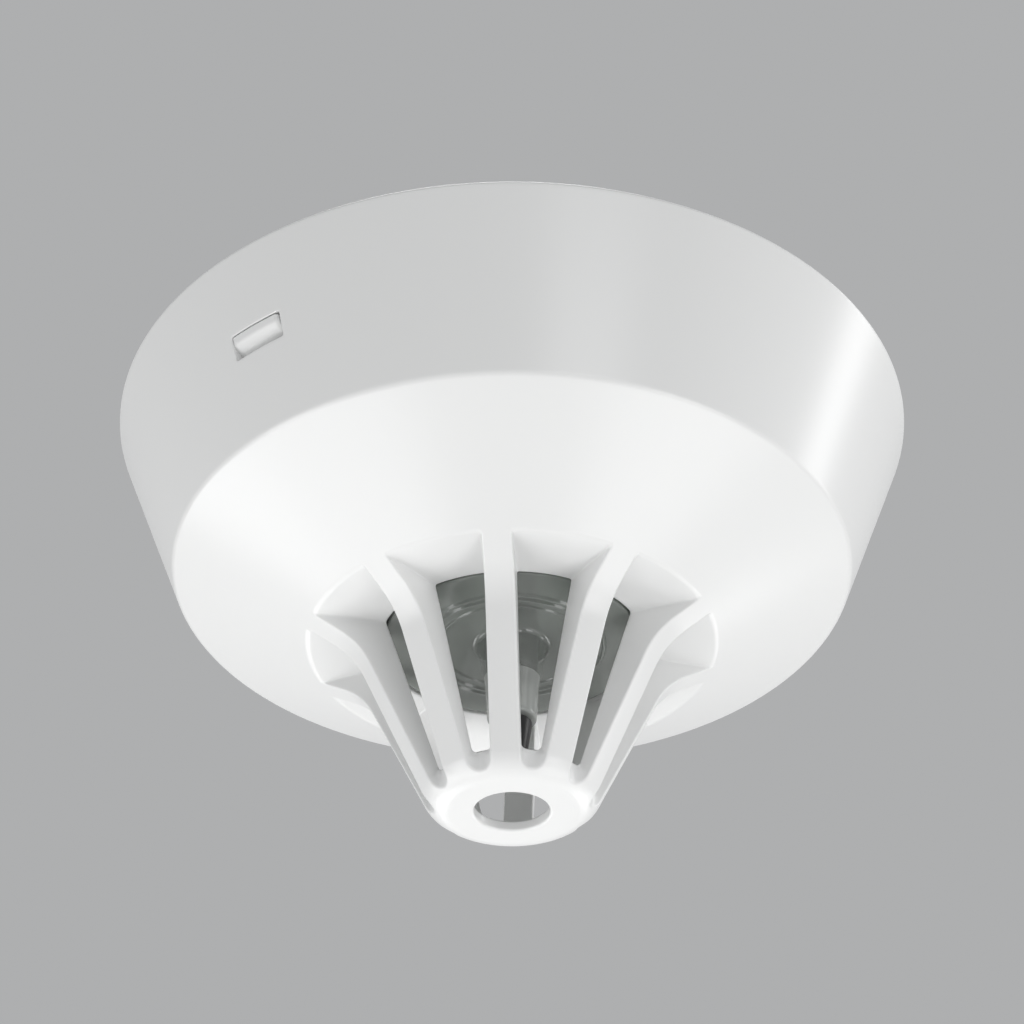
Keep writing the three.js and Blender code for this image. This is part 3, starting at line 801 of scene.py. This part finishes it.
# ---- Sensing bead and its sleeve -------------------------------------------------------------
(_, _, bead_foot), (bead_r, _, bead_top) = box_of("thermistor_bead")
BEAD_TAPER = 0.61
bead = revolved("sensing_bead", rounded([
    (0.0, bead_foot), (bead_r * BEAD_TAPER, bead_foot, 0.8), (bead_r, bead_top, 0.3), (0.0, bead_top),
], steps=12), 96, bead_black, closed=False)
fit_piece(bead, "head", "bead_black", "thermistor_bead")

SLEEVE_HOLE_R = 2.3
sleeve = revolved("bead_sleeve", rounded([
    (SLEEVE_HOLE_R, sleeve_top), (SLEEVE_HOLE_R, sleeve_foot, 0.3), (sleeve_r, sleeve_foot, 0.4),
    (sleeve_r, sleeve_top, 0.2), (SLEEVE_HOLE_R, sleeve_top),
], steps=5)[:-1], 96, sleeve_grey)
fit_piece(sleeve, "head", "sleeve_grey", "thermistor_sleeve")


# ---- Release tab -----------------------------------------------------------------------------
TAB_GAP, TAB_SUNK = 0.13, 0.08              # round the pad, and below the skirt's face
TAB_FOOT = WINDOW_BOTTOM + 0.42
TAB_BACK_R = 43.4
TAB_CURL, TAB_CURL_FROM, TAB_CURL_POWER = 2.3, 0.28, 1.6
TAB_ROUND_R = 48.0                          # the pad's face follows the skirt round
TAB_END, TAB_END_DROP = 0.07, 0.25          # its two ends fall away over this share of its half width
STEM_BACK_R, STEM_FRONT_R, STEM_HALF_W = 37.2, 43.9, 2.2


def release_tab():
    """The pad is flush with the skirt at its top and curls inwards towards its foot."""
    top, foot = WINDOW_TOP - TAB_GAP, TAB_FOOT
    face = [(skirt_r(top) - TAB_SUNK, top)]
    for f in np.linspace(0.12, 1.0, 18):
        z = top + (foot - top) * f
        curl = TAB_CURL * max(0.0, (f - TAB_CURL_FROM) / (1 - TAB_CURL_FROM)) ** TAB_CURL_POWER
        face.append((skirt_r(z) - TAB_SUNK - curl, z))
    outline = np.array(face + [(TAB_BACK_R, foot), (TAB_BACK_R, top)])
    front = outline[:, 0] > 45
    sections = []
    for u in np.linspace(-1, 1, 25):
        y = (WINDOW_W / 2 - TAB_GAP) * u
        bulge = TAB_ROUND_R * (np.hypot(1, y / TAB_ROUND_R) - 1)
        end = TAB_END_DROP * max(0.0, abs(u) - 1 + TAB_END) / TAB_END
        r = outline[:, 0] - bulge - np.where(front, end, 0)
        sections.append(np.stack([r, np.full(len(r), y), outline[:, 1]], axis=1))
    points, faces = lofted(sections)
    pad = make_object("release_tab_pad", points, faces, cover_white)
    stem_box = box_points((STEM_BACK_R, -STEM_HALF_W, foot), (STEM_FRONT_R, STEM_HALF_W, top))
    stem = make_object("release_tab_stem", *stem_box, cover_white)
    carve(pad, [stem], "UNION")
    bevelled(pad, 0.09, 3, 40)
    pad.rotation_euler = (0, 0, np.radians(WINDOW_THETA - 90))
    bpy.context.view_layer.update()
    pad.data.transform(pad.matrix_world)
    pad.matrix_world = Matrix.Identity(4)
    return pad


fit_piece(release_tab(), "release_tab", "cover_white", "release_tab")

# ---- Base plate ------------------------------------------------------------------------------
(_, _, BASE_FOOT), (BASE_R, _, _) = box_of("base_plate")
BASE_PLATE_Z = -2.4
ENTRY_R = 12.0                              # the cable's way in
RING_INNER, RING_OUTER = 43.2, 45.5         # the ring that holds the head's lugs
RECESS_INNER, RECESS_OUTER, RECESS_DEPTH = 22.9, 45.9, 0.5      # in the face against the ceiling
RECESS_DRAFT, RECESS_ROUND = 0.3, 0.15
LEDGE_INNER, LEDGE_OUTER, LEDGE_TOP, LEDGE_HALF_ANGLE = 41.0, 44.0, -7.6, 8
LEDGE_ANGLES = (30, 150, 270)
PAD_INNER, PAD_OUTER, PAD_HALF_W, PAD_FOOT = 17.5, 35.5, 5.25, -5.2
PAD_ANGLES = (45, 135, 225, 315)
TAPPED_R, TAPPED_AT_R, TAPPED_TOP = 1.9, 23, -1.2
SLOT_AT_R, SLOT_HALF_RUN, SLOT_R = 27, 2.75, 2.25
SLOT_PAD_R, SLOT_PAD_Z = 4.9, -0.9
PAST = 2                                    # cutting tools run on past a face by this much


def prism(name, outline, low, high, slot_material):
    """A straight-sided piece on an outline of (x, y) points."""
    sections = [np.array([(x, y, z) for x, y in outline]) for z in (low, high)]
    points, faces = lofted(sections)
    obj = make_object(name, points, faces, slot_material)
    obj.data.polygons.foreach_set("use_smooth", [False] * len(obj.data.polygons))
    return obj


def turned(outline, degrees):
    a = np.radians(degrees)
    return [(x * np.cos(a) - y * np.sin(a), x * np.sin(a) + y * np.cos(a)) for x, y in outline]


def arc(radius, start, end, steps, centre=(0.0, 0.0)):
    angles = np.radians(np.linspace(start, end, steps))
    return [(centre[0] + radius * np.cos(a), centre[1] + radius * np.sin(a)) for a in angles]


def slot_outline(radius, steps):
    """An outline rounded at both ends, along Y round a fixing slot's place on the plate."""
    far = arc(radius, 0, 180, steps, (SLOT_AT_R, SLOT_HALF_RUN))
    near = arc(radius, 180, 360, steps, (SLOT_AT_R, -SLOT_HALF_RUN))
    return far + near


def base_plate():
    """The fixed plate: a ring for the head's lugs, terminal pads, fixing slots and the cable entry."""
    outline = rounded([
        (ENTRY_R, BASE_PLATE_Z / 2), (ENTRY_R, BASE_PLATE_Z, 0.4),
        (RING_INNER, BASE_PLATE_Z, 0.3), (RING_INNER, BASE_FOOT, 0.3),
        (RING_OUTER, BASE_FOOT, 0.4), (RING_OUTER, BASE_PLATE_Z, 0.3),
        (BASE_R, BASE_PLATE_Z, 0.4), (BASE_R, 0, 0.5),
        (RECESS_OUTER + RECESS_DRAFT, 0, RECESS_ROUND), (RECESS_OUTER, -RECESS_DEPTH, RECESS_ROUND),
        (RECESS_INNER, -RECESS_DEPTH, RECESS_ROUND), (RECESS_INNER - RECESS_DRAFT, 0, RECESS_ROUND),
        (ENTRY_R, 0, 0.5), (ENTRY_R, BASE_PLATE_Z / 2),
    ], steps=5)[:-1]
    plate = revolved("base_moulding", outline, 240, base_white)
    ledge = arc(LEDGE_OUTER, -LEDGE_HALF_ANGLE, LEDGE_HALF_ANGLE, 13)
    ledge += arc(LEDGE_INNER, LEDGE_HALF_ANGLE, -LEDGE_HALF_ANGLE, 13)
    pad = [
        (PAD_INNER, -PAD_HALF_W), (PAD_OUTER, -PAD_HALF_W), (PAD_OUTER, PAD_HALF_W), (PAD_INNER, PAD_HALF_W),
    ]
    added = []
    for angle in LEDGE_ANGLES:
        added.append(prism("ledge", turned(ledge, angle), BASE_FOOT, LEDGE_TOP, base_white))
    for angle in PAD_ANGLES:
        added.append(prism("terminal_pad", turned(pad, angle), PAD_FOOT, BASE_PLATE_Z + 0.5, base_white))
    for side in (0, 180):
        # A raised pad round each fixing slot, level with the ceiling face.
        rim = turned(slot_outline(SLOT_PAD_R, 25), side)
        added.append(prism("slot_pad", rim, SLOT_PAD_Z, 0, base_white))
    carve(plate, added, "UNION")
    cut = []
    for side in (0, 180):
        slot = turned(slot_outline(SLOT_R, 21), side)
        cut.append(prism("fixing_slot", slot, PAD_FOOT - PAST, PAST, base_white))
    for angle in PAD_ANGLES:
        hole = arc(TAPPED_R, 0, 345, 24, turned([(TAPPED_AT_R, 0)], angle)[0])
        cut.append(prism("tapped_hole", hole, PAD_FOOT - PAST, TAPPED_TOP, base_white))
    carve(plate, cut, "DIFFERENCE")
    return bevelled(plate, 0.18, 2, 50)


fit_piece(base_plate(), "base", "base_white", "base_plate")

# ---- Small round pieces inside the head ------------------------------------------------------
def fine_turning(node, corners, columns=64):
    """Stands a finely turned piece in a CAD node's place. corners makes an outline from a foot and a top."""
    low, high = box_of(node)
    outline = rounded(corners(low[2], high[2]), steps=6)
    piece = revolved(node + "_turned", outline, columns, slot_materials[slot_of[node]], closed=False)
    x, y, _ = (low + high) / 2
    piece.data.transform(Matrix.Translation((x * MM, y * MM, 0)))
    fit_piece(piece, "head", slot_of[node], node)


def lead_outline(foot, top):
    return [(0, foot), (0.35, foot, 0.05), (0.35, top, 0.05), (0, top)]


def led_outline(foot, top):
    return [(0, foot), (1.5, foot, 1.4), (1.5, top - 0.6), (1.9, top - 0.6, 0.1), (1.9, top, 0.1), (0, top)]


def capacitor_outline(foot, top):
    return [
        (0, foot), (3.15, foot, 0.35), (3.15, top - 1.4, 0.2), (2.9, top - 1.0, 0.3), (3.15, top - 0.6, 0.2),
        (3.15, top, 0.2), (0, top),
    ]


def board_outline(foot, top):
    return [(0, foot), (34.5, foot, 0.12), (34.5, top, 0.12), (0, top)]


def drop_outline(foot, top):
    return [(0, foot), (1.3, foot, 1.1), (1.3, foot + 2.2, 0.8), (0.4, top - 0.9, 0.4), (0.4, top), (0, top)]


def rivet_outline(foot, top):
    return [
        (0, foot), (1.0, foot, 0.15), (1.0, top - 0.6), (1.8, top - 0.6, 0.08), (1.7, top, 0.35), (0, top),
    ]


for number in (1, 2):
    fine_turning(f"thermistor_lead_{number}", lead_outline, 24)
    fine_turning(f"indicator_led_{number}", led_outline)
fine_turning("smoothing_capacitor", capacitor_outline)
fine_turning("circuit_board", board_outline, 180)
fine_turning("reference_thermistor", drop_outline, 48)
for number in (1, 2, 3, 4):
    fine_turning(f"contact_rivet_{number}", rivet_outline, 40)

# ---- Finer edges on the frame's own pieces ---------------------------------------------------
EDGE_ROUNDS = {
    "chassis": 0.2, "base_terminal": 0.08, "clamp_washer": 0.08, "terminal_screw": 0.12,
    "contact_spring": 0.06, "microcontroller": 0.1, "bridge_rectifier": 0.15, "voltage_regulator": 0.12,
    "surge_suppressor": 0.3,
}
for name, node in frame["nodes"].items():
    for kind, width in EDGE_ROUNDS.items():
        if name.startswith(kind):
            bevelled(node, width, 2, 40)

# ---- Posts inside the cover that take the chassis screws -------------------------------------
POST_R, POST_BORE_R, POST_TOP, POST_BORE_END, POST_ROUND = 3.0, 1.4, -15.5, -22.6, 0.3
POST_FOOT = -25.2                   # past the wall, and drawn back into it below WALL_FROM
WALL_FROM = -23.0
POST_AT_R, POST_ANGLES = 38.5, (90, 210, 330)


def cover_post(angle):
    """A blind-bored post, standing in the thickness of the dish's wall."""
    outline = rounded([
        (0, POST_BORE_END), (POST_BORE_R, POST_BORE_END + 0.2), (POST_BORE_R, POST_TOP, POST_ROUND),
        (POST_R, POST_TOP, POST_ROUND), (POST_R, POST_FOOT), (0, POST_FOOT),
    ], steps=3)
    post = revolved("cover_post", outline, 48, cover_white, closed=False)
    x, y = turned([(POST_AT_R, 0)], angle)[0]
    post.data.transform(Matrix.Translation((x * MM, y * MM, 0)))
    for vertex in post.data.vertices:
        if vertex.co.z < WALL_FROM * MM:
            vertex.co.z = (dish_z(np.hypot(*vertex.co.xy) / MM) + WALL / 2) * MM
    return post


for angle in POST_ANGLES:
    fit_piece(cover_post(angle), "head", "cover_white")

# ---- Stage, light and camera -----------------------------------------------------------------
AIM = Vector((0, 0, -0.01132))
CAMERA_DISTANCE = 0.3589
CAMERA_AZIMUTH, CAMERA_ELEVATION = 4.2, -35.99
LENS = 95.52
FLOOR_Z, FLOOR_SIZE = -0.55, 80


def from_aim(azimuth, elevation, distance):
    a, e = np.radians(azimuth), np.radians(elevation)
    return AIM + Vector((np.sin(a) * np.cos(e), -np.cos(a) * np.cos(e), np.sin(e))) * distance


def look(obj, target):
    obj.rotation_euler = (target - obj.location).to_track_quat("-Z", "Y").to_euler()


def area_light(name, azimuth, elevation, distance, width, height, power):
    data = bpy.data.lights.new(name, "AREA")
    data.shape = "RECTANGLE"
    data.size = width
    data.size_y = height
    data.energy = power
    lamp = bpy.data.objects.new(name, data)
    bpy.context.scene.collection.objects.link(lamp)
    lamp.location = from_aim(azimuth, elevation, distance)
    look(lamp, AIM)
    lamp.visible_camera = False


def stage():
    floor_mat = material("floor", (0.88, 0.88, 0.87), 0.7)
    bpy.ops.mesh.primitive_plane_add(size=FLOOR_SIZE, location=(0, 0, FLOOR_Z))
    floor = bpy.context.object
    floor.name = "floor"
    floor.data.materials.append(floor_mat)
    world = bpy.data.worlds.new("studio")
    bpy.context.scene.world = world
    world.use_nodes = True
    background = world.node_tree.nodes["Background"]
    background.inputs["Color"].default_value = (0.92, 0.93, 0.94, 1)
    background.inputs["Strength"].default_value = 0.46


stage()
# Soft lamps round the point that the camera looks at. Each group's lamps are alike, at these azimuths, and
# have its elevation, distance, width, height and power.
LAMP_GROUPS = {
    "below": ((-90, 90), -60, 0.40, 0.20, 0.20, 0.25),
    "low_ring": ((-150, -110, -70, 60, 150), -35, 0.50, 0.20, 0.20, 0.35),
    "front": ((25,), -10, 0.50, 0.20, 0.20, 0.30),
    "side_strip": ((105,), 10, 0.50, 0.10, 0.50, 0.65),
    "above": ((200,), 80, 0.60, 0.30, 0.30, 1.20),
}
for group, (azimuths, *settings) in LAMP_GROUPS.items():
    for azimuth in azimuths:
        area_light(group, azimuth, *settings)

camera_data = bpy.data.cameras.new("camera")
camera_data.lens = LENS
camera_data.sensor_width = 36
camera_data.clip_start = 0.01
camera = bpy.data.objects.new("camera", camera_data)
bpy.context.scene.collection.objects.link(camera)
camera.location = from_aim(CAMERA_AZIMUTH, CAMERA_ELEVATION, CAMERA_DISTANCE)
look(camera, AIM)
bpy.context.scene.camera = camera
bpy.context.scene.view_settings.view_transform = "Standard"
